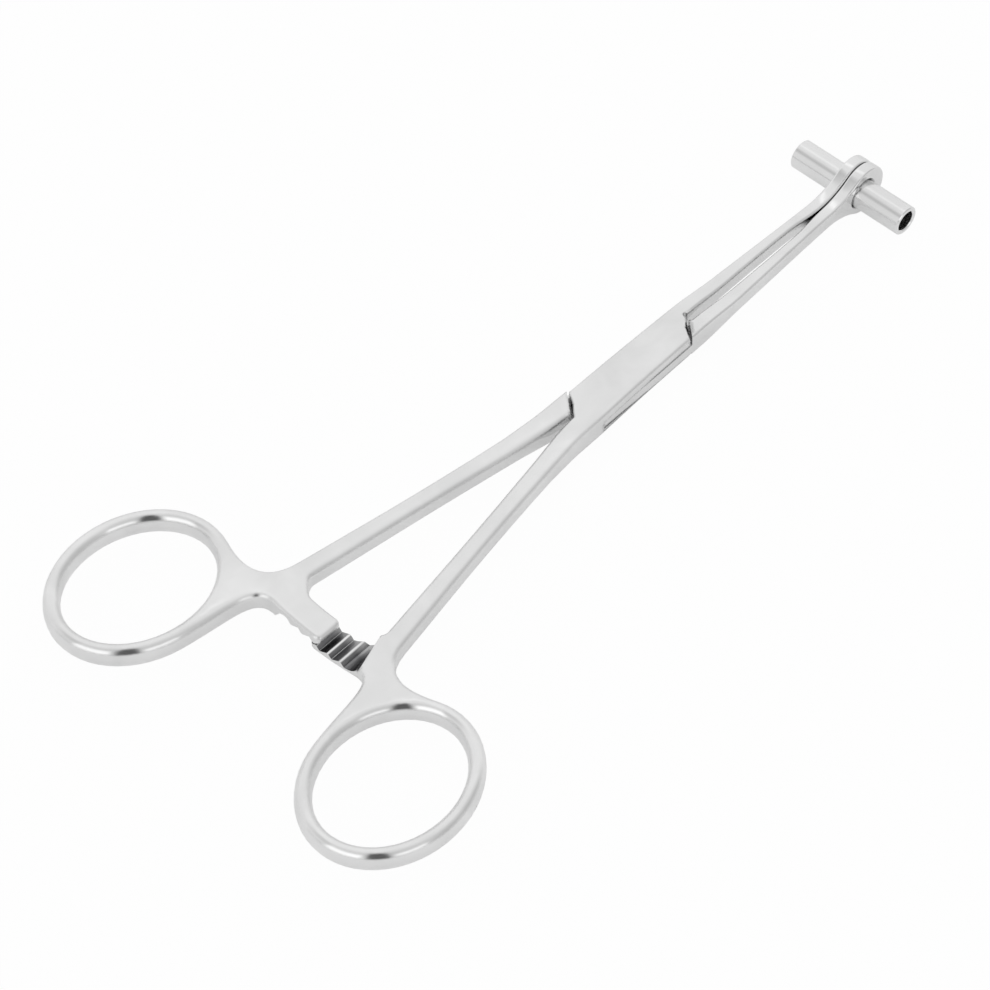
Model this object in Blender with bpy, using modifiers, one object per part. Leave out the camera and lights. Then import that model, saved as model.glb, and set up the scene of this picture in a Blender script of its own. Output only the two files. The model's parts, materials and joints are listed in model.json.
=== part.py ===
"""Septum piercing forceps: a ratcheted ring-handle clamp with a box lock and two receiving tubes.

The two halves are forgings that are mirror twins in plan. Each one runs from its finger ring, through the
lock, to the jaw on the other side. The female half is slotted right through at the lock. The male half,
milled down to a thin waist, passes through that slot and turns on a flush pin. The halves are modelled about
the pin's axis at mid-height: +X points to the jaws, +Y to the left and +Z up.
"""
import math
from collections import namedtuple

import bmesh
import bpy
from mathutils import Matrix, Vector

MM = 0.001

# Lengths along the instrument, from the pin
PIN_TO_TUBE = 54.4 * MM
PIN_TO_RING = 80.9 * MM

# Finger rings: an oval hole in a wall of oval section
RING_SPREAD = 52.0 * MM
RING_HOLE_LENGTH = 25.3 * MM
RING_HOLE_WIDTH = 20.25 * MM
RING_WALL = 2.65 * MM
RING_HEIGHT = 4.1 * MM
RING_TURN = math.radians(-4.4)
RING_ROUND_IN = 0.47 * RING_WALL
RING_ROUND_DOWN = 0.48 * RING_HEIGHT

# Shanks, and the necks where they widen into the rings
SHANK_WIDTH = 3.05 * MM
SHANK_LOCK_WIDTH = 3.55 * MM
SHANK_HEIGHT = 3.4 * MM
SHANK_ROUND = 0.9 * MM
SHANK_BOW = 0.13 * MM
NECK_HEIGHT = 3.5 * MM
NECK_WIDTH = 3.5 * MM
NECK_DEPTH = 3.8 * MM
NECK_LENGTH = 6.0 * MM
NECK_FRONT_TURN = math.radians(-14.0)
NECK_REAR_TURN = math.radians(262.0)

# How full each fillet of the neck is where it starts and where it ends, as shares of its length
FRONT_FULLNESS = (0.62, 0.37)
REAR_FULLNESS = (0.62, 0.28)
ARM_FULLNESS = (0.34, 0.26)
CORNER_FULLNESS = (0.4, 0.4)

# Ratchet arms, milled to half thickness, with teeth on the faces that meet
ARM_SETBACK = 12.6 * MM
ARM_WIDTH = 4.8 * MM
ARM_ROUND = 0.6 * MM
ARM_CORNER = 0.9 * MM
ARM_TIP_ROUND = 0.8 * MM
ARM_REAR_ROOT = 1.1 * MM
ARM_FRONT_ROOT = 3.3 * MM
ARM_FILLET_LIMIT = 0.5
MALE_ARM_REACH = 1.6 * MM
FEMALE_ARM_REACH = 0.5 * MM
MALE_FIRST_TOOTH = -0.2 * MM
FEMALE_FIRST_TOOTH = 1.0 * MM
TOOTH_PITCH = 2.38 * MM
TOOTH_DEPTH = 0.75 * MM
TOOTH_CREST = 0.3 * MM
TOOTH_FLANK = 0.6 * MM
TOOTH_CLEARANCE = 0.2 * MM
RAMP_FOOT = 0.35 * MM
RAMP_RUN = 3.3 * MM
RAMP_FRONT_RUN = 0.8 * MM
RAMP_LEAD = 2.6 * MM
RAMP_ANGLE = math.radians(58.0)

# Box lock
LOCK_HEIGHT = 4.3 * MM
LOCK_WIDTH = 7.1 * MM
LOCK_REAR_BULGE = 0.4 * MM
LOCK_FRONT_TUCK = 0.2 * MM
LOCK_ROUND = 0.6 * MM
STRAP_HALF_LENGTH = 10.1 * MM
STRAP_BEVEL = 0.55 * MM
STRAP_BEVEL_DEPTH = 0.7 * MM
CORNER_RELIEF = 0.45 * MM
STRAP_ANGLE = math.radians(40.5)
SHANK_TO_STRAP = 7.8 * MM
CROTCH_OFFSET = 0.4 * MM
SHANK_AT_LOCK = 2.47 * MM
WAIST_TOP = 0.4 * MM
WAIST_BOTTOM = -1.45 * MM
SLOT_CLEARANCE = 0.1 * MM
SLOT_END_GAP = 0.3 * MM
REAR_NOTCH_GAP = 0.4 * MM
FRONT_NOTCH_GAP = 0.35 * MM
PIN_RADIUS = 1.5 * MM
PIN_CLEARANCE = 0.03 * MM

# Jaws
JAW_HEIGHT = 3.0 * MM
JAW_ROUND = 0.55 * MM
JAW_ROOT = 23.0 * MM
JAW_ROOT_REACH = 3.1 * MM
JAW_GAP = 1.3 * MM
JAW_BEND = 7.0 * MM

# Paddles and the receiving tubes seated in them
PADDLE_RADIUS = 4.4 * MM
PADDLE_LEAD = 0.8 * MM
PADDLE_THICKNESS = 2.1 * MM
PADDLE_GAP = 0.2 * MM
PADDLE_ROUND = 0.35 * MM
PADDLE_FILLET = 12.0 * MM
TUBE_OUTER_RADIUS = 2.55 * MM
TUBE_BORE_RADIUS = 1.75 * MM
TUBE_REACH = 11.1 * MM
TUBE_EDGE = 0.15 * MM
TUBE_SEAT_CLEARANCE = 0.05 * MM
TUBE_SEAT_GROOVE = 0.35 * MM

# Smoothness of the curved surfaces, and how far a cutter runs past what it cuts
EDGE_STEPS = 4
ROUND_SIDES = 64
RING_STEPS = 42
HOLE_STEPS = 52
NECK_STEPS = 13
ARM_STEPS = 6
CORNER_STEPS = 3
RAMP_STEPS = 6
OVERCUT = 4.0 * MM
MERGE = 0.000001
CORNER_LIMIT = 0.6
SHARP_ANGLE = math.radians(35.0)

# Polished stainless steel: colour, and roughness of the forgings, the ground pin and the turned tubes
BRIGHT_STEEL = (0.80, 0.80, 0.79, 1.0)
FORGED_ROUGHNESS = 0.16
GROUND_ROUGHNESS = 0.18
TURNED_ROUGHNESS = 0.14

# Places that follow from the sizes above
PADDLE_CENTRE = PIN_TO_TUBE + PADDLE_LEAD
PADDLE_REACH = PADDLE_GAP / 2 + PADDLE_THICKNESS
ARM_RADIUS = PIN_TO_RING - ARM_SETBACK
RING_OUTER_LENGTH = RING_HOLE_LENGTH + 2 * RING_WALL
RING_OUTER_WIDTH = RING_HOLE_WIDTH + 2 * RING_WALL
SHANK_END_X = NECK_LENGTH - ARM_RADIUS
SHANK_END_Y = (RING_SPREAD - RING_OUTER_WIDTH) / 2 - NECK_DEPTH
LOCK_SIDE = LOCK_WIDTH / 2
LOCK_REAR_SIDE = LOCK_SIDE + LOCK_REAR_BULGE
LOCK_FRONT_SIDE = LOCK_SIDE - LOCK_FRONT_TUCK
JAW_INNER = JAW_GAP / 2

# A section is an upright wall with its top edge rounded, by so much in from the wall and down from the top
Section = namedtuple("Section", "half_height edge_in edge_down")
RING_SECTION = Section(RING_HEIGHT / 2, RING_ROUND_IN, RING_ROUND_DOWN)
NECK_SECTION = Section(NECK_HEIGHT / 2, SHANK_ROUND, SHANK_ROUND)
ARM_SECTION = Section(NECK_HEIGHT / 2, ARM_ROUND, ARM_ROUND)
ARM_TIP_SECTION = Section(NECK_HEIGHT / 2, ARM_TIP_ROUND, ARM_TIP_ROUND)
SHANK_SECTION = Section(SHANK_HEIGHT / 2, SHANK_ROUND, SHANK_ROUND)
LOCK_SECTION = Section(LOCK_HEIGHT / 2, LOCK_ROUND, LOCK_ROUND)
JAW_SECTION = Section(JAW_HEIGHT / 2, JAW_ROUND, JAW_ROUND)


def mix(start, end, share):
    return start + (end - start) * share


def mix_sections(start, end, share):
    return Section(*(mix(low, high, share) for low, high in zip(start, end)))


def ease(share):
    return share * share * (3 - 2 * share)


def share_of(value, low, high):
    """How far value lies on the way from low to high, held to 0 and 1."""
    return min(max((value - low) / (high - low), 0.0), 1.0)


def smooth_height(knots, x):
    """y at x on the smooth curve through the knots, which come in order of x."""
    slopes = []
    for index in range(len(knots)):
        before = knots[max(index - 1, 0)]
        after = knots[min(index + 1, len(knots) - 1)]
        slopes.append((after[1] - before[1]) / (after[0] - before[0]))
    index = 0
    while index < len(knots) - 2 and x > knots[index + 1][0]:
        index += 1
    (x0, y0), (x1, y1) = knots[index], knots[index + 1]
    span = x1 - x0
    t = (x - x0) / span
    start = (2 * t ** 3 - 3 * t ** 2 + 1) * y0 + (t ** 3 - 2 * t ** 2 + t) * span * slopes[index]
    end = (3 * t ** 2 - 2 * t ** 3) * y1 + (t ** 3 - t ** 2) * span * slopes[index + 1]
    return start + end


def strap_x(y):
    """x of the diagonal end of a strap, ahead of the pin, at this y."""
    return (STRAP_HALF_LENGTH - y * math.sin(STRAP_ANGLE)) / math.cos(STRAP_ANGLE)


# Plan of a half, drawn for the half with its ring on the +Y side. The left edge is the shank's outer side,
# then the lock's left side, and crosses by the strap's diagonal end to the jaw's inner wall. The right edge
# is the shank's inner side, which crosses to the lock's right side and becomes the jaw's outer side.

CROTCH_X = -strap_x(-CROTCH_OFFSET)
REAR_CORNER_X = -strap_x(LOCK_SIDE)
FRONT_CORNER_X = strap_x(LOCK_FRONT_SIDE)
SHANK_FRONT_X = REAR_CORNER_X - SHANK_TO_STRAP
JAW_START_X = strap_x(-JAW_INNER)
FILLET_RUN = math.sqrt((PADDLE_RADIUS + PADDLE_FILLET) ** 2 - (JAW_HEIGHT / 2 + PADDLE_FILLET) ** 2)
FILLET_START_X = PADDLE_CENTRE - FILLET_RUN
JAW_BEND_X = FILLET_START_X - JAW_BEND
SHANK_MIDDLE_X = (SHANK_END_X + SHANK_FRONT_X) / 2
SHANK_MIDDLE_Y = (SHANK_END_Y + SHANK_AT_LOCK) / 2 - SHANK_BOW
SHANK_KNOTS = (
    (SHANK_END_X, SHANK_END_Y, NECK_WIDTH),
    (SHANK_MIDDLE_X, SHANK_MIDDLE_Y, SHANK_WIDTH),
    (SHANK_FRONT_X, SHANK_AT_LOCK, SHANK_LOCK_WIDTH),
)
LEFT_RUNS = (
    [(x, y + width / 2) for x, y, width in SHANK_KNOTS]
    + [(REAR_CORNER_X, LOCK_REAR_SIDE), (0.0, LOCK_SIDE), (FRONT_CORNER_X, LOCK_FRONT_SIDE)],
    [(FRONT_CORNER_X, LOCK_FRONT_SIDE), (JAW_START_X, -JAW_INNER)],
    [(JAW_START_X, -JAW_INNER), (JAW_BEND_X, -JAW_INNER), (FILLET_START_X, -PADDLE_GAP / 2),
     (PADDLE_CENTRE + PADDLE_RADIUS, -PADDLE_GAP / 2)],
)
RIGHT_RUNS = (
    [(x, y - width / 2) for x, y, width in SHANK_KNOTS] + [(CROTCH_X, CROTCH_OFFSET)],
    [(CROTCH_X, CROTCH_OFFSET), (REAR_CORNER_X, -LOCK_SIDE)],
    [(REAR_CORNER_X, -LOCK_SIDE), (0.0, -LOCK_SIDE), (JAW_START_X, -LOCK_FRONT_SIDE),
     (JAW_ROOT, -JAW_ROOT_REACH), (FILLET_START_X, -PADDLE_REACH),
     (PADDLE_CENTRE + PADDLE_RADIUS, -PADDLE_REACH)],
)

# Where the sections of a half stand: up to each of these places, in so many steps
STATION_ENDS = (SHANK_FRONT_X, CROTCH_X, REAR_CORNER_X, FRONT_CORNER_X, JAW_START_X, JAW_ROOT, JAW_BEND_X,
                FILLET_START_X)
STATION_STEPS = (8, 3, 2, 5, 2, 4, 4, 7)
FILLET_STEPS = 5
PADDLE_STEPS = 16
SECTION_RUN = (
    (SHANK_END_X, NECK_SECTION),
    (SHANK_FRONT_X - LOCK_WIDTH, SHANK_SECTION),
    (CROTCH_X, LOCK_SECTION),
    (JAW_START_X, LOCK_SECTION),
    (JAW_ROOT, JAW_SECTION),
)


def edge_y(runs, x):
    """y of a plan edge at x: smooth within each run, with a corner between two runs."""
    for run in runs:
        if x <= run[-1][0]:
            return smooth_height(run, x)
    return runs[-1][-1][1]


def section_at(x):
    """Height and edge rounding of a half at x, from the neck to the jaw."""
    for (start, low), (end, high) in zip(SECTION_RUN, SECTION_RUN[1:]):
        if x <= end:
            return mix_sections(low, high, ease(share_of(x, start, end)))
    return JAW_SECTION


def spread(start, end, count):
    """Evenly spaced values after start, up to and with end."""
    return [mix(start, end, step / count) for step in range(1, count + 1)]


Rim = namedtuple("Rim", "x half_height lean section")


def side_profile():
    """Top of a half in side view, from neck to paddle tip. Lean is a rim's tilt forward from upright."""
    places = [SHANK_END_X]
    for end, count in zip(STATION_ENDS, STATION_STEPS):
        places += spread(places[-1], end, count)
    rims = [Rim(x, section_at(x).half_height, 0.0, section_at(x)) for x in places]
    paddle_section = Section(0.0, PADDLE_ROUND, PADDLE_ROUND)
    meet = math.asin(FILLET_RUN / (PADDLE_RADIUS + PADDLE_FILLET))
    for angle in spread(0.0, meet, FILLET_STEPS):
        x = FILLET_START_X + PADDLE_FILLET * math.sin(angle)
        height = JAW_HEIGHT / 2 + PADDLE_FILLET * (1 - math.cos(angle))
        rims.append(Rim(x, height, -angle, mix_sections(JAW_SECTION, paddle_section, angle / meet)))
    for angle in spread(-meet, math.pi / 2, PADDLE_STEPS):
        x = PADDLE_CENTRE + PADDLE_RADIUS * math.sin(angle)
        rims.append(Rim(x, PADDLE_RADIUS * math.cos(angle), angle, paddle_section))
    return rims


def ellipse_point(centre, half_length, half_width, angle):
    """Point of a turned ellipse, and its counter-clockwise heading there."""
    spin = Matrix.Rotation(RING_TURN, 2)
    at = Vector((half_length * math.cos(angle), half_width * math.sin(angle)))
    heading = Vector((-half_length * math.sin(angle), half_width * math.cos(angle)))
    return centre + spin @ at, (spin @ heading).normalized()


def fillet(start, start_heading, end, end_heading, fullness, count):
    """Points between start and end of the curve that leaves and arrives on the given headings."""
    length = (end - start).length
    out_of_start = start + start_heading.normalized() * length * fullness[0]
    into_end = end - end_heading.normalized() * length * fullness[1]
    points = []
    for step in range(1, count):
        t = step / count
        s = 1 - t
        points.append(s ** 3 * start + 3 * s * s * t * out_of_start + 3 * s * t * t * into_end + t ** 3 * end)
    return points


def sectioned(points, start, end):
    """Pair each point with a section that changes smoothly from start to end along the run."""
    count = len(points) + 1
    shares = [ease((index + 1) / count) for index in range(len(points))]
    return [(point, mix_sections(start, end, share)) for point, share in zip(points, shares)]


def pin_arc(radius, start_y, end_y, count):
    """Points of the circle of this radius about the pin, on its ring side, from one y to the other."""
    start = math.asin(start_y / radius)
    end = math.asin(end_y / radius)
    turns = [mix(start, end, step / count) for step in range(count + 1)]
    return [Vector((-radius * math.cos(turn), radius * math.sin(turn))) for turn in turns]


def bow_outline(arm_reach):
    """Outline and sections of ring, neck and arm, from the shank's outer side round to its inner side."""
    centre = Vector((-PIN_TO_RING, RING_SPREAD / 2))
    half_length = RING_OUTER_LENGTH / 2
    half_width = RING_OUTER_WIDTH / 2
    forward = Vector((1.0, 0.0))
    left = Vector((0.0, 1.0))
    outer_start = Vector(LEFT_RUNS[0][0])
    outer_heading = Vector(LEFT_RUNS[0][1]) - outer_start
    inner_end = Vector(RIGHT_RUNS[0][0])
    inner_heading = Vector(RIGHT_RUNS[0][1]) - inner_end
    front, front_heading = ellipse_point(centre, half_length, half_width, NECK_FRONT_TURN)
    rear, rear_heading = ellipse_point(centre, half_length, half_width, NECK_REAR_TURN)

    corner = ARM_CORNER - arm_reach
    arm_rear = pin_arc(ARM_RADIUS + ARM_WIDTH / 2, inner_end.y + ARM_REAR_ROOT, corner, ARM_STEPS)
    front_root = min(ARM_FRONT_ROOT, ARM_FILLET_LIMIT * (inner_end.y - corner))
    arm_front = pin_arc(ARM_RADIUS - ARM_WIDTH / 2, corner, inner_end.y - front_root, ARM_STEPS)
    tip_rear = arm_rear[-1] + Vector((ARM_CORNER, -ARM_CORNER))
    tip_front = arm_front[0] + Vector((-ARM_CORNER, -ARM_CORNER))
    rear_corner = fillet(arm_rear[-1], -left, tip_rear, forward, CORNER_FULLNESS, CORNER_STEPS)
    front_corner = fillet(tip_front, forward, arm_front[0], left, CORNER_FULLNESS, CORNER_STEPS)
    ring = [ellipse_point(centre, half_length, half_width, turn)[0]
            for turn in [NECK_FRONT_TURN] + spread(NECK_FRONT_TURN, NECK_REAR_TURN, RING_STEPS)]

    outline = sectioned(fillet(outer_start, -outer_heading, front, front_heading, FRONT_FULLNESS, NECK_STEPS),
                        NECK_SECTION, RING_SECTION)
    outline += [(point, RING_SECTION) for point in ring]
    outline += sectioned(fillet(rear, rear_heading, arm_rear[0], -left, REAR_FULLNESS, NECK_STEPS),
                         RING_SECTION, ARM_SECTION)
    outline += [(point, ARM_SECTION) for point in arm_rear]
    outline += sectioned(rear_corner, ARM_SECTION, ARM_TIP_SECTION)
    outline += [(tip_rear, ARM_TIP_SECTION), (tip_front, ARM_TIP_SECTION)]
    outline += sectioned(front_corner, ARM_TIP_SECTION, ARM_SECTION)
    outline += [(point, ARM_SECTION) for point in arm_front]
    outline += sectioned(fillet(arm_front[-1], left, inner_end, inner_heading, ARM_FULLNESS, NECK_STEPS),
                         ARM_SECTION, NECK_SECTION)
    return outline


def ring_hole():
    """Outline and sections of the finger hole, clockwise."""
    centre = Vector((-PIN_TO_RING, RING_SPREAD / 2))
    points = []
    for angle in spread(2 * math.pi, 0.0, HOLE_STEPS):
        point = ellipse_point(centre, RING_HOLE_LENGTH / 2, RING_HOLE_WIDTH / 2, angle)[0]
        points.append((point, RING_SECTION))
    return points


def inward_normals(points, closed):
    """Inward plan offset for each outline point that has the metal on its left, lengthened at corners."""
    normals = []
    for index, point in enumerate(points):
        before = points[index - 1] if index > 0 or closed else point
        after = points[(index + 1) % len(points)] if index < len(points) - 1 or closed else point
        sides = [step.normalized() for step in (point - before, after - point) if step.length > 0]
        mean = sum(sides, Vector((0.0, 0.0))).normalized()
        normals.append(Vector((-mean.y, mean.x)) / max(mean.dot(sides[0]), CORNER_LIMIT))
    return normals


def add_column(bm, point, inward, section, half_height, lean=0.0):
    """Vertices up the wall at one outline point: from mid-height, over the rounded edge, to the flat top."""
    places = []
    for step in range(EDGE_STEPS + 1):
        turn = step / EDGE_STEPS * math.pi / 2
        inset = section.edge_in * (1 - math.cos(turn))
        drop = section.edge_down * (1 - math.sin(turn))
        flat = point + inward * inset
        places.append(Vector((flat.x - drop * math.sin(lean), flat.y, half_height - drop * math.cos(lean))))
    places.insert(0, Vector((places[0].x, places[0].y, 0.0)))
    return [bm.verts.new(place) for place in places]


def bridge_columns(bm, before, after):
    """Wall between two neighbouring columns."""
    for low in range(EDGE_STEPS + 1):
        bm.faces.new((before[low], after[low], after[low + 1], before[low + 1]))


def top_edge(bm, before, after):
    return bm.edges.get((before[-1], after[-1])) or bm.edges.new((before[-1], after[-1]))


def add_strip(bm):
    """Shank, lock and jaw: a loft through the rims. It returns its first left and right columns."""
    rims = side_profile()
    left_points = [Vector((rim.x, edge_y(LEFT_RUNS, rim.x))) for rim in rims]
    right_points = [Vector((rim.x, edge_y(RIGHT_RUNS, rim.x))) for rim in rims]
    left_inward = inward_normals(left_points[::-1], False)[::-1]
    right_inward = inward_normals(right_points, False)
    left = []
    right = []
    for index, rim in enumerate(rims):
        shape = (rim.section, rim.half_height, rim.lean)
        left.append(add_column(bm, left_points[index], left_inward[index], *shape))
        right.append(add_column(bm, right_points[index], right_inward[index], *shape))
    for index in range(len(rims) - 1):
        bridge_columns(bm, left[index + 1], left[index])
        bridge_columns(bm, right[index], right[index + 1])
        bm.faces.new((left[index][-1], right[index][-1], right[index + 1][-1], left[index + 1][-1]))
    return left[0], right[0]


def add_bow(bm, arm_reach, left_column, right_column):
    """Ring, neck and arm, joined to the strip's first two columns and capped with one flat top."""
    outline = bow_outline(arm_reach)
    start = Vector(LEFT_RUNS[0][0])
    end = Vector(RIGHT_RUNS[0][0])
    inward = inward_normals([start] + [point for point, section in outline] + [end], False)[1:-1]
    bow = [left_column]
    for (point, section), normal in zip(outline, inward):
        bow.append(add_column(bm, point, normal, section, section.half_height))
    bow.append(right_column)
    hole_outline = ring_hole()
    hole_inward = inward_normals([point for point, section in hole_outline], True)
    hole = []
    for (point, section), normal in zip(hole_outline, hole_inward):
        hole.append(add_column(bm, point, normal, section, section.half_height))
    rim_edges = [top_edge(bm, left_column, right_column)]
    for before, after in list(zip(bow, bow[1:])) + list(zip(hole, hole[1:] + hole[:1])):
        bridge_columns(bm, before, after)
        rim_edges.append(top_edge(bm, before, after))
    bmesh.ops.triangle_fill(bm, use_beauty=True, use_dissolve=False, edges=rim_edges, normal=(0.0, 0.0, 1.0))


def half_mesh(arm_reach):
    """Upper half of one forging, open at mid-height, for the half with its ring on the +Y side."""
    bm = bmesh.new()
    left_column, right_column = add_strip(bm)
    add_bow(bm, arm_reach, left_column, right_column)
    bmesh.ops.remove_doubles(bm, verts=bm.verts, dist=MERGE)
    return bm


def mesh_object(name, bm, collection):
    mesh = bpy.data.meshes.new(name)
    bm.to_mesh(mesh)
    bm.free()
    piece = bpy.data.objects.new(name, mesh)
    collection.objects.link(piece)
    return piece


def add_half(name, side, arm_reach, collection):
    """One forging before it is cut, with its ring on the side given: +1 is left and -1 is right."""
    bm = half_mesh(arm_reach)
    if side < 0:
        bmesh.ops.scale(bm, verts=bm.verts, vec=(1.0, -1.0, 1.0))
        bmesh.ops.reverse_faces(bm, faces=bm.faces)
    half = mesh_object(name, bm, collection)
    mirror = half.modifiers.new("underside", 'MIRROR')
    mirror.use_axis = (False, False, True)
    mirror.merge_threshold = MERGE
    return half


def turned(name, profile, collection):
    """Solid of revolution about local Z. The profile's points are (radius, height), down the outer side."""
    bm = bmesh.new()
    verts = [bm.verts.new((radius, 0.0, height)) for radius, height in profile]
    for before, after in zip(verts, verts[1:] + verts[:1]):
        if before.co.x > 0 or after.co.x > 0:
            bm.edges.new((before, after))
    piece = mesh_object(name, bm, collection)
    screw = piece.modifiers.new("turning", 'SCREW')
    screw.steps = ROUND_SIDES
    screw.render_steps = ROUND_SIDES
    screw.use_merge_vertices = True
    screw.merge_threshold = MERGE
    return piece


def box_cutter(name, low, high, turn, collection):
    """Box between two corners, turned about the pin's axis."""
    bm = bmesh.new()
    bmesh.ops.create_cube(bm, size=1.0)
    size = high - low
    bmesh.ops.scale(bm, verts=bm.verts, vec=size)
    bmesh.ops.translate(bm, verts=bm.verts, vec=(low + high) / 2)
    cutter = mesh_object(name, bm, collection)
    cutter.rotation_euler.z = turn
    return cutter


def ratchet_line(arm_reach, first_tooth, ramp_run):
    """Profile that the milling leaves on an arm, as (y, z), from over the ramp to past the arm's tip."""
    crest = -TOOTH_CLEARANCE / 2
    valley = crest - TOOTH_DEPTH
    room = SHANK_END_Y - NECK_WIDTH / 2 - first_tooth - TOOTH_FLANK - RAMP_FOOT
    tooth_count = int(room // TOOTH_PITCH) + 1
    foot = first_tooth + (tooth_count - 1) * TOOTH_PITCH + TOOTH_FLANK + RAMP_FOOT
    depth = NECK_HEIGHT / 2 - valley
    line = []
    for turn in reversed(spread(0.0, RAMP_ANGLE * (RAMP_STEPS + 1) / RAMP_STEPS, RAMP_STEPS + 1)):
        run = ramp_run * math.sin(turn) / math.sin(RAMP_ANGLE)
        rise = depth * (1 - math.cos(turn)) / (1 - math.cos(RAMP_ANGLE))
        line.append((foot + run, valley + rise))
    line.insert(0, (line[0][0], OVERCUT))
    line.append((foot, valley))
    for tooth in reversed(range(tooth_count)):
        back = first_tooth + tooth * TOOTH_PITCH
        line.append((back + TOOTH_FLANK, valley))
        line.append((back, crest))
        line.append((back - TOOTH_CREST, crest))
    line.append((min(first_tooth - TOOTH_PITCH + TOOTH_FLANK, -arm_reach), valley))
    line.append((-arm_reach - OVERCUT, valley))
    line.append((-arm_reach - OVERCUT, OVERCUT))
    return line


def ratchet_cutter(name, side, arm_reach, first_tooth, collection):
    """What the milling takes off an arm: a row of teeth and a hollow ramp that runs out towards the shank.

    The row has as many teeth as the arm has room for. It is drawn for an arm that keeps its lower part, on
    the half with its ring on the +Y side, and is turned over for the male arm or mirrored for the female.
    """
    rear_x = -ARM_RADIUS - ARM_WIDTH / 2 - ARM_CORNER
    front_x = -ARM_RADIUS + ARM_WIDTH / 2 + RAMP_LEAD
    bm = bmesh.new()
    rear = [bm.verts.new((rear_x, y, z)) for y, z in ratchet_line(arm_reach, first_tooth, RAMP_RUN)]
    front = [bm.verts.new((front_x, y, z)) for y, z in ratchet_line(arm_reach, first_tooth, RAMP_FRONT_RUN)]
    bm.faces.new(rear)
    bm.faces.new(front[::-1])
    for index in range(len(rear)):
        bm.faces.new((rear[index - 1], front[index - 1], front[index], rear[index]))
    bmesh.ops.triangulate(bm, faces=bm.faces)
    if side > 0:
        bmesh.ops.scale(bm, verts=bm.verts, vec=(1.0, 1.0, -1.0))
    else:
        bmesh.ops.scale(bm, verts=bm.verts, vec=(1.0, -1.0, 1.0))
    bmesh.ops.recalc_face_normals(bm, faces=bm.faces)
    return mesh_object(name, bm, collection)


def cut(piece, cutter):
    cutter.hide_render = True
    cutter.display_type = 'WIRE'
    boolean = piece.modifiers.new(cutter.name, 'BOOLEAN')
    boolean.operation = 'DIFFERENCE'
    boolean.solver = 'EXACT'
    boolean.object = cutter


def drill(name, radius, place, collection):
    """Cutter for an upright hole right through the lock."""
    bm = bmesh.new()
    bmesh.ops.create_cone(bm, cap_ends=True, segments=ROUND_SIDES, radius1=radius, radius2=radius,
                          depth=LOCK_HEIGHT + OVERCUT)
    bmesh.ops.translate(bm, verts=bm.verts, vec=place)
    return mesh_object(name, bm, collection)


def strap_bevel(name, corners, facing, collection):
    """Spool that grinds a hollow, lens-shaped bevel on the top and bottom edge of a strap's end.

    The corners are the ends of that edge in plan, and facing is +1 for the front end and -1 for the rear one.
    """
    outward = facing * Vector((math.cos(STRAP_ANGLE), -math.sin(STRAP_ANGLE), 0.0))
    half = (corners[1] - corners[0]).length / 2
    reach = (half * half - STRAP_BEVEL * STRAP_BEVEL) / (2 * STRAP_BEVEL)
    middle = (corners[0] + corners[1]) / 2
    bm = bmesh.new()
    for over in (1, -1):
        cone = bmesh.ops.create_cone(bm, cap_ends=True, segments=2 * ROUND_SIDES, depth=3 * STRAP_BEVEL_DEPTH,
                                     radius1=reach - STRAP_BEVEL, radius2=reach + 2 * STRAP_BEVEL)
        lift = (LOCK_HEIGHT - STRAP_BEVEL_DEPTH) / 2
        bmesh.ops.translate(bm, verts=cone["verts"], vec=middle + outward * reach + Vector((0.0, 0.0, lift)))
        if over < 0:
            bmesh.ops.scale(bm, verts=cone["verts"], vec=(1.0, 1.0, -1.0))
            faces = {face for vert in cone["verts"] for face in vert.link_faces}
            bmesh.ops.reverse_faces(bm, faces=list(faces))
    bmesh.ops.bisect_plane(bm, geom=bm.verts[:] + bm.edges[:] + bm.faces[:], clear_outer=True,
                           plane_co=middle + outward * SLOT_CLEARANCE, plane_no=outward)
    bmesh.ops.holes_fill(bm, edges=[edge for edge in bm.edges if edge.is_boundary])
    return mesh_object(name, bm, collection)


def tube_seat(name, side, collection):
    """Hole through a paddle for its tube, with the groove that is turned round the tube's root."""
    radius = TUBE_OUTER_RADIUS + TUBE_SEAT_CLEARANCE
    profile = (
        (0.0, PADDLE_REACH + OVERCUT),
        (radius + TUBE_SEAT_GROOVE, PADDLE_REACH + OVERCUT),
        (radius + TUBE_SEAT_GROOVE, PADDLE_REACH),
        (radius, PADDLE_REACH - TUBE_SEAT_GROOVE),
        (radius, -PADDLE_GAP / 2),
        (0.0, -PADDLE_GAP / 2),
    )
    seat = turned(name, profile, collection)
    stand_tube(seat, side)
    return seat


def stand_tube(piece, side):
    """Lay a turned piece's axis along Y at the tubes' place, pointing out on the side given."""
    piece.location = (PIN_TO_TUBE, 0.0, 0.0)
    piece.rotation_euler.x = -side * math.pi / 2


def add_tube(name, side, collection):
    inner = PADDLE_GAP / 2
    profile = (
        (TUBE_BORE_RADIUS + TUBE_EDGE, TUBE_REACH),
        (TUBE_OUTER_RADIUS - TUBE_EDGE, TUBE_REACH),
        (TUBE_OUTER_RADIUS, TUBE_REACH - TUBE_EDGE),
        (TUBE_OUTER_RADIUS, inner),
        (TUBE_BORE_RADIUS, inner),
        (TUBE_BORE_RADIUS, TUBE_REACH - TUBE_EDGE),
    )
    tube = turned(name, profile, collection)
    stand_tube(tube, side)
    return tube


def add_pin(name, collection):
    """The lock's rivet, ground flush with both straps."""
    bm = bmesh.new()
    bmesh.ops.create_cone(bm, cap_ends=True, segments=ROUND_SIDES, radius1=PIN_RADIUS, radius2=PIN_RADIUS,
                          depth=LOCK_HEIGHT)
    return mesh_object(name, bm, collection)


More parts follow.
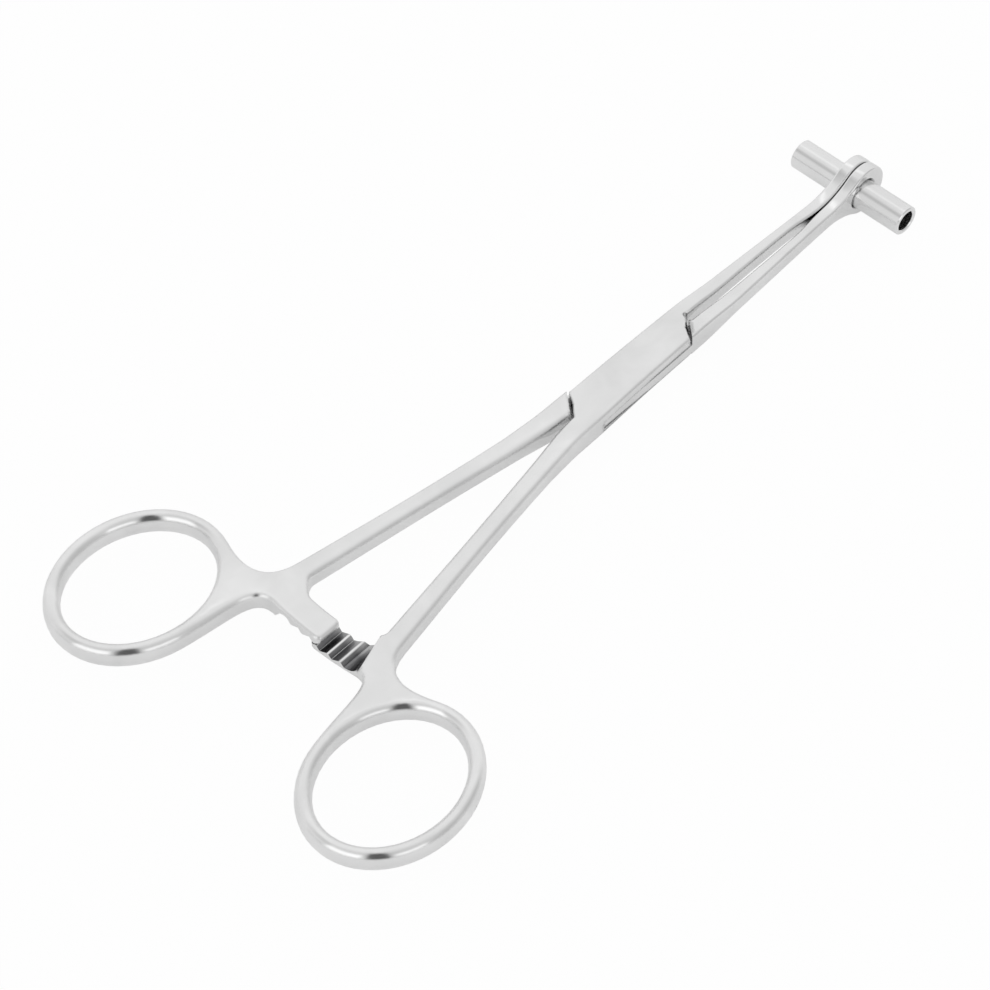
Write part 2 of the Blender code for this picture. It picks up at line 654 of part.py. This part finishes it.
def finish(piece, roughness, parent):
    """Polished steel on one piece, with smooth shading that stops at real edges."""
    steel = bpy.data.materials.new(piece.name + "_steel")
    steel.use_nodes = True
    shader = steel.node_tree.nodes["Principled BSDF"]
    shader.inputs["Base Color"].default_value = BRIGHT_STEEL
    shader.inputs["Metallic"].default_value = 1.0
    shader.inputs["Roughness"].default_value = roughness
    piece.data.materials.append(steel)
    piece.data.shade_smooth()
    piece.data.set_sharp_from_angle(angle=SHARP_ANGLE)
    piece.parent = parent


def main():
    for old in list(bpy.data.objects):
        bpy.data.objects.remove(old)
    forceps = bpy.data.collections.new("piercing_forceps")
    cutters = bpy.data.collections.new("cutters")
    bpy.context.scene.collection.children.link(forceps)
    bpy.context.scene.collection.children.link(cutters)

    # The pin's axis, set so that the origin lies under the middle of the whole instrument
    pivot = bpy.data.objects.new("pin_axis", None)
    tip = PADDLE_CENTRE + PADDLE_RADIUS
    rear = PIN_TO_RING + RING_OUTER_LENGTH / 2
    pivot.location = ((rear - tip) / 2, 0.0, PADDLE_RADIUS)
    forceps.objects.link(pivot)

    slot_end = STRAP_HALF_LENGTH + SLOT_END_GAP
    wide = 2 * STRAP_HALF_LENGTH
    female = add_half("female_half", -1, FEMALE_ARM_REACH, forceps)
    cut(female, box_cutter("slot", Vector((-slot_end, -wide, WAIST_BOTTOM - SLOT_CLEARANCE)),
                           Vector((slot_end, wide, WAIST_TOP + SLOT_CLEARANCE)), STRAP_ANGLE, cutters))
    at_pin = Vector((0.0, 0.0, 0.0))
    at_jaw = Vector((JAW_START_X, JAW_INNER, 0.0))
    front_corners = (Vector((FRONT_CORNER_X, -LOCK_FRONT_SIDE, 0.0)), at_jaw)
    rear_corners = (Vector((REAR_CORNER_X, LOCK_SIDE, 0.0)), Vector((CROTCH_X, -CROTCH_OFFSET, 0.0)))
    cut(female, strap_bevel("front_bevel", front_corners, 1, cutters))
    cut(female, strap_bevel("rear_bevel", rear_corners, -1, cutters))
    cut(female, ratchet_cutter("female_ratchet", -1, FEMALE_ARM_REACH, FEMALE_FIRST_TOOTH, cutters))
    cut(female, drill("corner_relief", CORNER_RELIEF, at_jaw, cutters))
    cut(female, drill("female_pin_hole", PIN_RADIUS + PIN_CLEARANCE, at_pin, cutters))
    cut(female, tube_seat("left_tube_seat", 1, cutters))

    male = add_half("male_half", 1, MALE_ARM_REACH, forceps)
    rear_end = -STRAP_HALF_LENGTH - REAR_NOTCH_GAP
    front_end = STRAP_HALF_LENGTH + FRONT_NOTCH_GAP
    cut(male, box_cutter("upper_pocket", Vector((rear_end, -wide, WAIST_TOP)),
                         Vector((front_end, wide, LOCK_HEIGHT)), -STRAP_ANGLE, cutters))
    cut(male, box_cutter("lower_pocket", Vector((rear_end, -wide, -LOCK_HEIGHT)),
                         Vector((front_end, wide, WAIST_BOTTOM)), -STRAP_ANGLE, cutters))
    cut(male, ratchet_cutter("male_ratchet", 1, MALE_ARM_REACH, MALE_FIRST_TOOTH, cutters))
    cut(male, drill("male_pin_hole", PIN_RADIUS + PIN_CLEARANCE, at_pin, cutters))
    cut(male, tube_seat("right_tube_seat", -1, cutters))

    pin = add_pin("lock_pin", forceps)
    left_tube = add_tube("left_tube", 1, forceps)
    right_tube = add_tube("right_tube", -1, forceps)
    finish(female, FORGED_ROUGHNESS, pivot)
    finish(male, FORGED_ROUGHNESS, pivot)
    finish(pin, GROUND_ROUGHNESS, pivot)
    finish(left_tube, TURNED_ROUGHNESS, pivot)
    finish(right_tube, TURNED_ROUGHNESS, pivot)
    for cutter in cutters.objects:
        cutter.parent = pivot


main()
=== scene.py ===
"""Septum piercing forceps in mirror-polished stainless steel, on a white studio floor."""
import json
import math

import bmesh
import bpy
from mathutils import Matrix, Vector

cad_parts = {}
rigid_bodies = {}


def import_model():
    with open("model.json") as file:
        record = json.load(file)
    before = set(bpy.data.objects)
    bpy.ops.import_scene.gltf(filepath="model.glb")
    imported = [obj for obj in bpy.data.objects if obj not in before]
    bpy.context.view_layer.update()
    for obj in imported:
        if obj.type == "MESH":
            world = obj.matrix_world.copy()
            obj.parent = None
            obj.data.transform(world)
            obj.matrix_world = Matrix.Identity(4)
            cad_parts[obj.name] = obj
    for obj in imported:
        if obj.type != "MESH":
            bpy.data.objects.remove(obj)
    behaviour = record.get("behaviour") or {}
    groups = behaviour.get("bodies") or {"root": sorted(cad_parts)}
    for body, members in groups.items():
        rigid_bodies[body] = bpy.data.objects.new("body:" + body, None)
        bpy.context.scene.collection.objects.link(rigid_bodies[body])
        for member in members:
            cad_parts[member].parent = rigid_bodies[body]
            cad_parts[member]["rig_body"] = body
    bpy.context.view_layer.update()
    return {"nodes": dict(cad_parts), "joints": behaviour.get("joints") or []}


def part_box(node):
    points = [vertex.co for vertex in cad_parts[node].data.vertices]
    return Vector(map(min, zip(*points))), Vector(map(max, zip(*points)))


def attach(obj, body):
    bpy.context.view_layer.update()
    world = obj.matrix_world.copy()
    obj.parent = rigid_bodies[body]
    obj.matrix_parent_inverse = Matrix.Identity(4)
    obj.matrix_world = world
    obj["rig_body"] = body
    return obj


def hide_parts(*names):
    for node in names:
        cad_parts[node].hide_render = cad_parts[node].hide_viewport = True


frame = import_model()

MM = 0.001

# The photograph's camera, worked out from the instrument's own proportions
VIEW_ELEVATION = math.radians(51.27)
VIEW_HEADING = math.radians(43.01)
VIEW_ROLL = math.radians(0.152)
VIEW_DISTANCE = 591.06 * MM
VIEW_TARGET_FROM_PIN = Vector((-31.963, -1.007, 0.0)) * MM
LENS = 141.43
SENSOR = 36.0

# The instrument, from the frame
PIN = Vector(frame["joints"][0]["pos_m"])
PIN_LOW, PIN_HIGH = (Vector(corner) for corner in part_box("lock_pin"))
PIN_RADIUS = (PIN_HIGH.x - PIN_LOW.x) / 2

# Welding and smoothing of the solids, and the pin's peened ends
WELD = 0.002 * MM
FLAT_ANGLE = math.radians(0.05)
SHARP_ANGLE = math.radians(28.0)
FLATS_WEIGHT = 100
PIN_HOLE_GAP = 0.03 * MM
PEENED_DEPTH = 0.4 * MM

# How far the buffing wheel has rounded the edges, and where, from the pin's centre
RING_BUFFING = 0.8 * MM
SHANK_BUFFING = 0.8 * MM
JAW_BUFFING = 0.4 * MM
LOCK_BUFFING = 0.6 * MM
PADDLE_BUFFING = 0.15 * MM
ARM_BUFFING = 0.6 * MM
TOOTH_BUFFING = 0.08 * MM
RING_INSIDE = 10.0 * MM
LOCK_HALF_LENGTH = 10.5 * MM
PIN_SURROUND = 2.0 * MM
PADDLE_REAR = 46.0 * MM

# Where the ratchet's teeth are cut, from the pin's centre
TEETH_REAR = -71.2 * MM
TEETH_FRONT = -61.0 * MM
ARM_FRONT = -65.9 * MM
TEETH_REACH = 8.4 * MM
TEETH_DEPTH = 0.95 * MM
TOOTH_CREST = -0.1 * MM
TOOTH_ROOT = -0.85 * MM
LAST_ROOT = 6.3 * MM
ROOT_PLAY = 0.06 * MM
RAMP_TOP = 1.2 * MM
TOOTH_SLOPE = 0.25
LEAST_FACING = 0.1

# Where the ratchet arms end behind the teeth, and the rings begin
ARMS_REAR = TEETH_REAR - 1.0 * MM
RINGS_FRONT = TEETH_FRONT + 2.0 * MM

# Finish of the steel, and the reach of its painted shade and painted highlights, as real sizes on the metal
POLISH_SWELL = 7.0 * MM
POLISH_SWELL_DEPTH = 0.012 * MM
HANDLING_SMEAR = 9.0 * MM
WORN_AND_LIT_CREST = 0.14 * MM
BURNISH_AND_HIGHLIGHT_REACH = 1.6 * MM
CREVICE_REACH = 1.1 * MM

# Real polishing grain, cutter marks and lathe rings are too fine to show, so they are drawn coarser
POLISH_GRAIN = 0.5 * MM
POLISH_GRAIN_DEPTH = 0.01 * MM
POLISH_GRAIN_STRENGTH = 0.05
MILL_MARK = 0.22 * MM
MILL_MARK_DEPTH = 0.01 * MM
MILL_MARK_STRENGTH = 0.3
MILL_MARK_STRETCH = 6.0
TURNING_MARK = 0.35 * MM
TURNING_MARK_DEPTH = 0.004 * MM
TURNING_MARK_STRENGTH = 0.2
TURNING_MARK_NARROWING = 0.02

# Tints of each finish, its roughness, and the painted shade, partly buffing compound, that darkens the
# crevices
POLISHED_TINTS = ("#F4F4F4", "#D8D8D8")
# The milled tints are darkened as painted shade between the teeth, over a real satin cutter finish
SHADED_MILLED_TINTS = ("#6A6A6C", "#8A8A8B")
TURNED_TINTS = ("#F0F0F0", "#DCDCDC")
# Colour of the painted highlights at crests, roots, ramp and front, partly real burnish
BURNISHED_AND_LIT_TINT = "#E6E6E6"
# Painted shade, partly buffing compound, that darkens gaps and notches by how closed in they are
DEEP_SHADE_AND_SOIL = "#303032"
LIGHT_SHADE_AND_SOIL = "#C8C8CA"
SHADED_OPENNESS = 0.04
UNSHADED_OPENNESS = 0.48
POLISHED_ROUGHNESS = (0.08, 0.15)
SMEAR_SPAN = (0.3, 0.7)
SMEAR_SWIRL = 0.6
MILLED_ROUGHNESS = 0.26
TURNED_ROUGHNESS = 0.2

# How far the crests and the front of the teeth get painted highlights, partly real burnish, 1 being wholly
CREST_SHINE = 0.9
FRONT_SHINE = 0.4

# The white floor, and how much of it is plain white to the camera and in the steel
FLOOR_SIDE = 6.0
FLOOR_PAINT = "#F4F4F4"
FLOOR_ROUGHNESS = 0.9
CAMERA_WHITE = 0.965
MIRRORED_WHITE = 0.4

# The studio round the instrument, as steel sees it: bearing, half width, low, high and edge in degrees,
# and brightness
STUDIO = {
    "grey wall on the right": (-52.0, 34.0, -20.0, 48.0, 12.0, 0.60),
    "grey wall behind the camera": (-137.0, 62.0, 22.0, 66.0, 10.0, 0.70),
    "grey panel at the upper left": (138.0, 24.0, 44.0, 60.0, 8.0, 0.55),
    "ceiling lamp": (56.0, 16.0, 57.0, 64.0, 4.0, 1.12),
    "table's edge": (-137.0, 88.0, -7.0, 3.5, 2.0, 0.36),
    "left softbox": (-173.0, 23.0, 4.5, 46.0, 2.5, 1.25),
    "right softbox": (-101.0, 14.0, 4.0, 27.0, 2.5, 1.18),
    "photographer and camera": (-132.0, 12.0, -8.0, 74.0, 3.0, 0.12),
}
FAR_WALL = 0.92
NEAR_WALL = 0.80
WALL_BLEND = 0.6


def linear(hex_colour):
    """Linear RGBA of an sRGB hex colour."""
    channels = [int(hex_colour[start:start + 2], 16) / 255 for start in (1, 3, 5)]
    return [c / 12.92 if c <= 0.04045 else ((c + 0.055) / 1.055) ** 2.4 for c in channels] + [1.0]


def add_node(tree, kind, settings=None, **inputs):
    """Add a node. Inputs are values or output sockets: _ in a name stands for a space, _0 is the first."""
    node = tree.nodes.new(kind)
    for name, value in (settings or {}).items():
        setattr(node, name, value)
    for name, value in inputs.items():
        key = int(name[1:]) if name[1:].isdigit() else name.replace("_", " ")
        if isinstance(value, bpy.types.NodeSocket):
            tree.links.new(value, node.inputs[key])
        else:
            node.inputs[key].default_value = value
    return node


def start_steel(name):
    """A bare metal: its node tree, its shader and the place on the piece."""
    steel = bpy.data.materials.new(name)
    steel.use_nodes = True
    tree = steel.node_tree
    shader = tree.nodes["Principled BSDF"]
    shader.inputs["Metallic"].default_value = 1.0
    return steel, tree, shader, add_node(tree, "ShaderNodeTexCoord").outputs["Object"]


def rounded_edges(tree):
    """The wheel's rounding of each edge, as wide as the piece's own buffing attribute says."""
    buffing = add_node(tree, "ShaderNodeAttribute", {"attribute_name": "buffing"})
    rounded = add_node(tree, "ShaderNodeBevel", {"samples": 4}, Radius=buffing.outputs["Fac"])
    return rounded.outputs["Normal"]


def paint_crevice_shade_and_soil(tree, colour, soil_and_shade):
    """Painted shade, partly buffing compound: where gaps and notches are closed in, the colour darkens, so
    they read as dark lines.
    """
    open_sky = add_node(tree, "ShaderNodeAmbientOcclusion", {"samples": 4}, Distance=CREVICE_REACH)
    unshaded = add_node(tree, "ShaderNodeMapRange", Value=open_sky.outputs["AO"], From_Min=SHADED_OPENNESS,
                     From_Max=UNSHADED_OPENNESS)
    painted_tone = add_node(tree, "ShaderNodeMix", {"data_type": 'RGBA'}, Factor=unshaded.outputs["Result"])
    painted_tone.inputs["A"].default_value = linear(soil_and_shade)
    tree.links.new(colour, painted_tone.inputs["B"])
    return painted_tone.outputs["Result"]


def mirror_polished_steel():
    """Forged stainless steel, ground and buffed on a wheel: a mirror with a slow swell and a faint smear."""
    steel, tree, shader, place = start_steel("mirror_polished_forged_steel")
    smear = add_node(tree, "ShaderNodeTexNoise", Vector=place, Scale=1 / HANDLING_SMEAR, Detail=4.0,
                     Distortion=SMEAR_SWIRL)
    tint = add_node(tree, "ShaderNodeMix", {"data_type": 'RGBA'}, Factor=smear.outputs["Fac"])
    tint.inputs["A"].default_value = linear(POLISHED_TINTS[0])
    tint.inputs["B"].default_value = linear(POLISHED_TINTS[1])
    # Painted crevice shade, partly buffing compound, darkens the polished tint in gaps and notches
    tree.links.new(paint_crevice_shade_and_soil(tree, tint.outputs["Result"], DEEP_SHADE_AND_SOIL), shader.inputs["Base Color"])
    haze = add_node(tree, "ShaderNodeMapRange", Value=smear.outputs["Fac"], From_Min=SMEAR_SPAN[0],
                    From_Max=SMEAR_SPAN[1], To_Min=POLISHED_ROUGHNESS[0],
                    To_Max=POLISHED_ROUGHNESS[1])
    tree.links.new(haze.outputs["Result"], shader.inputs["Roughness"])
    swell = add_node(tree, "ShaderNodeTexNoise", Vector=place, Scale=1 / POLISH_SWELL, Detail=2.0)
    grain = add_node(tree, "ShaderNodeTexNoise", Vector=place, Scale=1 / POLISH_GRAIN, Detail=3.0)
    low = add_node(tree, "ShaderNodeBump", Strength=1.0, Distance=POLISH_SWELL_DEPTH,
                   Height=swell.outputs["Fac"], Normal=rounded_edges(tree))
    fine = add_node(tree, "ShaderNodeBump", Strength=POLISH_GRAIN_STRENGTH, Distance=POLISH_GRAIN_DEPTH,
                    Height=grain.outputs["Fac"], Normal=low.outputs["Normal"])
    tree.links.new(fine.outputs["Normal"], shader.inputs["Normal"])
    return steel


def shaded_milled_steel(name, facing):
    """Steel as the cutter left it, satin, darkened with painted shade between the teeth; painted highlights,
    partly real burnish, brighten the crests, the roots, the rising ramp and the front.
    """
    steel, tree, shader, place = start_steel(name)
    parts = add_node(tree, "ShaderNodeSeparateXYZ", Vector=place)
    scale = add_node(tree, "ShaderNodeMapping", Vector=place, Scale=(1.0, MILL_MARK_STRETCH, 1.0))
    marks = add_node(tree, "ShaderNodeTexNoise", Vector=scale.outputs["Vector"],
                     Scale=1 / (MILL_MARK_STRETCH * MILL_MARK), Detail=3.0)
    tint = add_node(tree, "ShaderNodeMix", {"data_type": 'RGBA'}, Factor=marks.outputs["Fac"])
    tint.inputs["A"].default_value = linear(SHADED_MILLED_TINTS[0])
    tint.inputs["B"].default_value = linear(SHADED_MILLED_TINTS[1])
    # Painted highlights, partly real burnish: the crests, the roots, the ramp as it rises and the front turn
    # to the bright tint
    crest = PIN.z + facing * TOOTH_CREST
    worn_and_lit_crest = add_node(tree, "ShaderNodeMapRange", Value=parts.outputs["Z"],
                    From_Min=crest - facing * WORN_AND_LIT_CREST, From_Max=crest, To_Max=CREST_SHINE)
    lit_ramp = add_node(tree, "ShaderNodeMapRange", Value=parts.outputs["Z"], From_Min=crest,
                    From_Max=PIN.z + facing * RAMP_TOP)
    lit_front = add_node(tree, "ShaderNodeMapRange", Value=parts.outputs["X"],
                     From_Min=PIN.x + ARM_FRONT - BURNISH_AND_HIGHLIGHT_REACH, From_Max=PIN.x + ARM_FRONT,
                     To_Max=FRONT_SHINE)
    aside = add_node(tree, "ShaderNodeMath", {"operation": 'ABSOLUTE'}, _0=parts.outputs["Y"])
    between = add_node(tree, "ShaderNodeMath", {"operation": 'LESS_THAN'}, _0=aside.outputs[0], _1=LAST_ROOT)
    root = PIN.z + facing * TOOTH_ROOT
    rubbed_and_lit_root = add_node(tree, "ShaderNodeMapRange", Value=parts.outputs["Z"],
                      From_Min=root + facing * ROOT_PLAY, From_Max=root, To_Max=between.outputs[0])
    highlight_share = worn_and_lit_crest.outputs[0]
    for shine in (lit_front, lit_ramp, rubbed_and_lit_root):
        highlight_share = add_node(tree, "ShaderNodeMath", {"operation": 'MAXIMUM'}, _0=highlight_share,
                          _1=shine.outputs[0]).outputs[0]
    # Mixes the milled tint's painted shade with the painted highlights
    painted_tone = add_node(tree, "ShaderNodeMix", {"data_type": 'RGBA'}, Factor=highlight_share)
    # Painted crevice shade, partly buffing compound, darkens the milled tint in gaps and notches
    tree.links.new(paint_crevice_shade_and_soil(tree, tint.outputs["Result"], DEEP_SHADE_AND_SOIL), painted_tone.inputs["A"])
    painted_tone.inputs["B"].default_value = linear(BURNISHED_AND_LIT_TINT)
    tree.links.new(painted_tone.outputs["Result"], shader.inputs["Base Color"])
    shader.inputs["Roughness"].default_value = MILLED_ROUGHNESS
    cut = add_node(tree, "ShaderNodeBump", Strength=MILL_MARK_STRENGTH, Distance=MILL_MARK_DEPTH,
                   Height=marks.outputs["Fac"], Normal=rounded_edges(tree))
    tree.links.new(cut.outputs["Normal"], shader.inputs["Normal"])
    return steel


def turned_steel():
    """Stainless bar turned and buffed in the lathe: bright, with faint rings round the tube."""
    steel, tree, shader, place = start_steel("turned_tube_steel")
    smear = add_node(tree, "ShaderNodeTexNoise", Vector=place, Scale=1 / HANDLING_SMEAR, Detail=4.0)
    tint = add_node(tree, "ShaderNodeMix", {"data_type": 'RGBA'}, Factor=smear.outputs["Fac"])
    tint.inputs["A"].default_value = linear(TURNED_TINTS[0])
    tint.inputs["B"].default_value = linear(TURNED_TINTS[1])
    # Painted crevice shade, partly buffing compound, greys the turned tint in gaps and at the tube's seat
    tree.links.new(paint_crevice_shade_and_soil(tree, tint.outputs["Result"], LIGHT_SHADE_AND_SOIL), shader.inputs["Base Color"])
    shader.inputs["Roughness"].default_value = TURNED_ROUGHNESS
    along = add_node(tree, "ShaderNodeMapping", Vector=place,
                     Scale=(TURNING_MARK_NARROWING, 1.0, TURNING_MARK_NARROWING))
    rings = add_node(tree, "ShaderNodeTexNoise", Vector=along.outputs["Vector"], Scale=1 / TURNING_MARK,
                     Detail=2.0)
    tooled = add_node(tree, "ShaderNodeBump", Strength=TURNING_MARK_STRENGTH, Distance=TURNING_MARK_DEPTH,
                      Height=rings.outputs["Fac"], Normal=rounded_edges(tree))
    tree.links.new(tooled.outputs["Normal"], shader.inputs["Normal"])
    return steel


def welded_copy(node):
    """The node's mesh with its loose triangles merged and its flats made whole again."""
    bm = bmesh.new()
    bm.from_mesh(frame["nodes"][node].data)
    bmesh.ops.remove_doubles(bm, verts=bm.verts, dist=WELD)
    bmesh.ops.dissolve_limit(bm, angle_limit=FLAT_ANGLE, verts=bm.verts, edges=bm.edges)
    return bm


def mark_teeth(bm, facing):
    """Give the ratchet's flanks, valleys and ramp the second material, the milled steel darkened with painted
    shade. Facing is +1 on top, -1 below.
    """
    for face in bm.faces:
        place = face.calc_center_median() - PIN
        beside = TEETH_REAR < place.x < TEETH_FRONT and abs(place.y) < TEETH_REACH
        sloped = abs(face.normal.y) > TOOTH_SLOPE
        across = abs(face.normal.x) < TOOTH_SLOPE and face.normal.z * facing > LEAST_FACING
        level = place.z * facing > -TEETH_DEPTH
        root = abs(place.z * facing - TOOTH_ROOT) < ROOT_PLAY
        if beside and across and level and (sloped or root):
            face.material_index = 1


def buffing_at(place, facing):
    """Radius that the wheel has given the edges near a place on the instrument. The teeth face up for +1."""
    x, y = place.x, abs(place.y)
    if ARMS_REAR < x < TEETH_FRONT and y < TEETH_REACH:
        return TOOTH_BUFFING if place.z * facing > -TEETH_DEPTH else ARM_BUFFING
    if x > PADDLE_REAR:
        return PADDLE_BUFFING
    if x < RINGS_FRONT and y > RING_INSIDE:
        return RING_BUFFING
    if Vector((x, y)).length < PIN_SURROUND:
        return 0.0
    if abs(x) < LOCK_HALF_LENGTH:
        return LOCK_BUFFING
    return JAW_BUFFING if x > 0 else SHANK_BUFFING


def flare_pin(bm):
    """Peen the pin's ends out to the holes in the straps, so that they close flush."""
    for height, outward in ((PIN_HIGH.z - PEENED_DEPTH, 1), (PIN_LOW.z + PEENED_DEPTH, -1)):
        bmesh.ops.bisect_plane(bm, geom=bm.verts[:] + bm.edges[:] + bm.faces[:], dist=WELD,
                               plane_co=(0, 0, height), plane_no=(0, 0, 1))
        ends = [vert for vert in bm.verts if (vert.co.z - height) * outward > WELD]
        wider = 1 + PIN_HOLE_GAP / PIN_RADIUS
        bmesh.ops.scale(bm, vec=(wider, wider, 1), verts=ends, space=Matrix.Translation(-PIN))


def dress(node, bm, materials, slot, facing=1):
    """Put the finished piece in its node's place, smooth where the real surface is, on the same body."""
    name = "polished_" + node
    mesh = bpy.data.meshes.new(name)
    bm.to_mesh(mesh)
    bm.free()
    buffing = mesh.attributes.new("buffing", 'FLOAT', 'POINT')
    if slot != "tube_steel":
        for vertex in mesh.vertices:
            buffing.data[vertex.index].value = buffing_at(vertex.co - PIN, facing)
    mesh.shade_smooth()
    mesh.set_sharp_from_angle(angle=SHARP_ANGLE)
    for material in materials:
        mesh.materials.append(material)
    piece = bpy.data.objects.new(name, mesh)
    bpy.context.scene.collection.objects.link(piece)
    weighted = piece.modifiers.new("flats stay flat", 'WEIGHTED_NORMAL')
    weighted.keep_sharp = True
    weighted.weight = FLATS_WEIGHT
    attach(piece, frame["nodes"][node]["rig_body"])
    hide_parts(node)


def add_floor():
    """White floor: white to the camera, pale in the steel, and keeping part of its shadow in both."""
    bm = bmesh.new()
    bmesh.ops.create_grid(bm, x_segments=1, y_segments=1, size=FLOOR_SIDE / 2)
    mesh = bpy.data.meshes.new("floor")
    bm.to_mesh(mesh)
    bm.free()
    floor = bpy.data.objects.new("floor", mesh)
    bpy.context.scene.collection.objects.link(floor)
    paint = bpy.data.materials.new("white_floor")
    paint.use_nodes = True
    tree = paint.node_tree
    matt = tree.nodes["Principled BSDF"]
    matt.inputs["Base Color"].default_value = linear(FLOOR_PAINT)
    matt.inputs["Roughness"].default_value = FLOOR_ROUGHNESS
    path = add_node(tree, "ShaderNodeLightPath")
    seen = add_node(tree, "ShaderNodeMath", {"operation": 'MULTIPLY'}, _0=path.outputs["Is Camera Ray"],
                    _1=CAMERA_WHITE)
    mirrored = add_node(tree, "ShaderNodeMath", {"operation": 'MULTIPLY'}, _0=path.outputs["Is Glossy Ray"],
                        _1=MIRRORED_WHITE)
    share = add_node(tree, "ShaderNodeMath", {"operation": 'ADD'}, _0=seen.outputs[0],
                     _1=mirrored.outputs[0])
    white = add_node(tree, "ShaderNodeEmission", Color=(1.0, 1.0, 1.0, 1.0), Strength=1.0)
    both = add_node(tree, "ShaderNodeMixShader", _0=share.outputs[0], _1=matt.outputs[0],
                    _2=white.outputs[0])
    tree.links.new(both.outputs[0], tree.nodes["Material Output"].inputs["Surface"])
    mesh.materials.append(paint)


def patch_share(tree, place, height, bearing, half_width, low, high, edge):
    """How far a direction lies inside an upright soft-edged patch of the studio, all in degrees."""
    turned = add_node(tree, "ShaderNodeVectorRotate", {"rotation_type": 'Z_AXIS'}, Vector=place,
                      Angle=-math.radians(bearing))
    parts = add_node(tree, "ShaderNodeSeparateXYZ", Vector=turned.outputs["Vector"])
    aside = add_node(tree, "ShaderNodeMath", {"operation": 'ARCTAN2'}, _0=parts.outputs["Y"],
                     _1=parts.outputs["X"])
    away = add_node(tree, "ShaderNodeMath", {"operation": 'ABSOLUTE'}, _0=aside.outputs[0])
    share = None
    for value, outside, inside in ((away, half_width + edge, half_width - edge),
                                   (height, low - edge, low + edge), (height, high + edge, high - edge)):
        step = add_node(tree, "ShaderNodeMapRange", {"interpolation_type": 'SMOOTHSTEP'},
                        Value=value.outputs[0], From_Min=math.radians(outside), From_Max=math.radians(inside))
        if share is None:
            share = step.outputs["Result"]
        else:
            share = add_node(tree, "ShaderNodeMath", {"operation": 'MULTIPLY'}, _0=share,
                             _1=step.outputs["Result"]).outputs[0]
    return share


def add_world():
    """Studio with two softboxes and the dark camera between them, plain white to the camera's own rays."""
    world = bpy.data.worlds.new("studio")
    bpy.context.scene.world = world
    world.use_nodes = True
    tree = world.node_tree
    place = add_node(tree, "ShaderNodeTexCoord").outputs["Generated"]
    height = add_node(tree, "ShaderNodeMath", {"operation": 'ARCSINE'},
                      _0=add_node(tree, "ShaderNodeSeparateXYZ", Vector=place).outputs["Z"])
    ahead = (math.cos(VIEW_HEADING), math.sin(VIEW_HEADING), 0.0)
    depth = add_node(tree, "ShaderNodeVectorMath", {"operation": 'DOT_PRODUCT'}, _0=place, _1=ahead)
    level = add_node(tree, "ShaderNodeMapRange", Value=depth.outputs["Value"], From_Min=-WALL_BLEND,
                     From_Max=WALL_BLEND, To_Min=NEAR_WALL, To_Max=FAR_WALL).outputs["Result"]
    for bearing, half_width, low, high, edge, brightness in STUDIO.values():
        share = patch_share(tree, place, height, bearing, half_width, low, high, edge)
        level = add_node(tree, "ShaderNodeMix", Factor=share, A=level, B=brightness).outputs["Result"]
    path = add_node(tree, "ShaderNodeLightPath")
    seen = add_node(tree, "ShaderNodeMix", Factor=path.outputs["Is Camera Ray"], A=level, B=1.0)
    tree.nodes["Background"].inputs["Color"].default_value = (1.0, 1.0, 1.0, 1.0)
    tree.links.new(seen.outputs["Result"], tree.nodes["Background"].inputs["Strength"])


def add_camera():
    """Camera at the photograph's place: turned about the target, then rolled about its own line of sight."""
    ahead = Vector((math.cos(VIEW_ELEVATION) * math.cos(VIEW_HEADING),
                    math.cos(VIEW_ELEVATION) * math.sin(VIEW_HEADING), -math.sin(VIEW_ELEVATION)))
    right = Vector((math.sin(VIEW_HEADING), -math.cos(VIEW_HEADING), 0.0))
    roll = Matrix.Rotation(VIEW_ROLL, 3, ahead)
    right = roll @ right
    up = right.cross(ahead)
    data = bpy.data.cameras.new("camera")
    data.lens = LENS
    data.sensor_width = SENSOR
    camera = bpy.data.objects.new("camera", data)
    turn = Matrix((right, up, -ahead)).transposed()
    place = PIN + VIEW_TARGET_FROM_PIN - ahead * VIEW_DISTANCE
    camera.matrix_world = Matrix.Translation(place) @ turn.to_4x4()
    bpy.context.scene.collection.objects.link(camera)
    bpy.context.scene.camera = camera


add_camera()
add_floor()
add_world()

polished = mirror_polished_steel()
turned = turned_steel()
for half, facing in (("female_half", 1), ("male_half", -1)):
    shaded_milled = shaded_milled_steel("shaded_milled_" + half + "_teeth", facing)
    body = welded_copy(half)
    mark_teeth(body, facing)
    dress(half, body, (polished, shaded_milled), "forged_steel", facing)
rivet = welded_copy("lock_pin")
flare_pin(rivet)
dress("lock_pin", rivet, (polished,), "pin_steel")
for tube in ("left_tube", "right_tube"):
    dress(tube, welded_copy(tube), (turned,), "tube_steel")

bpy.context.scene.view_settings.view_transform = 'Standard'
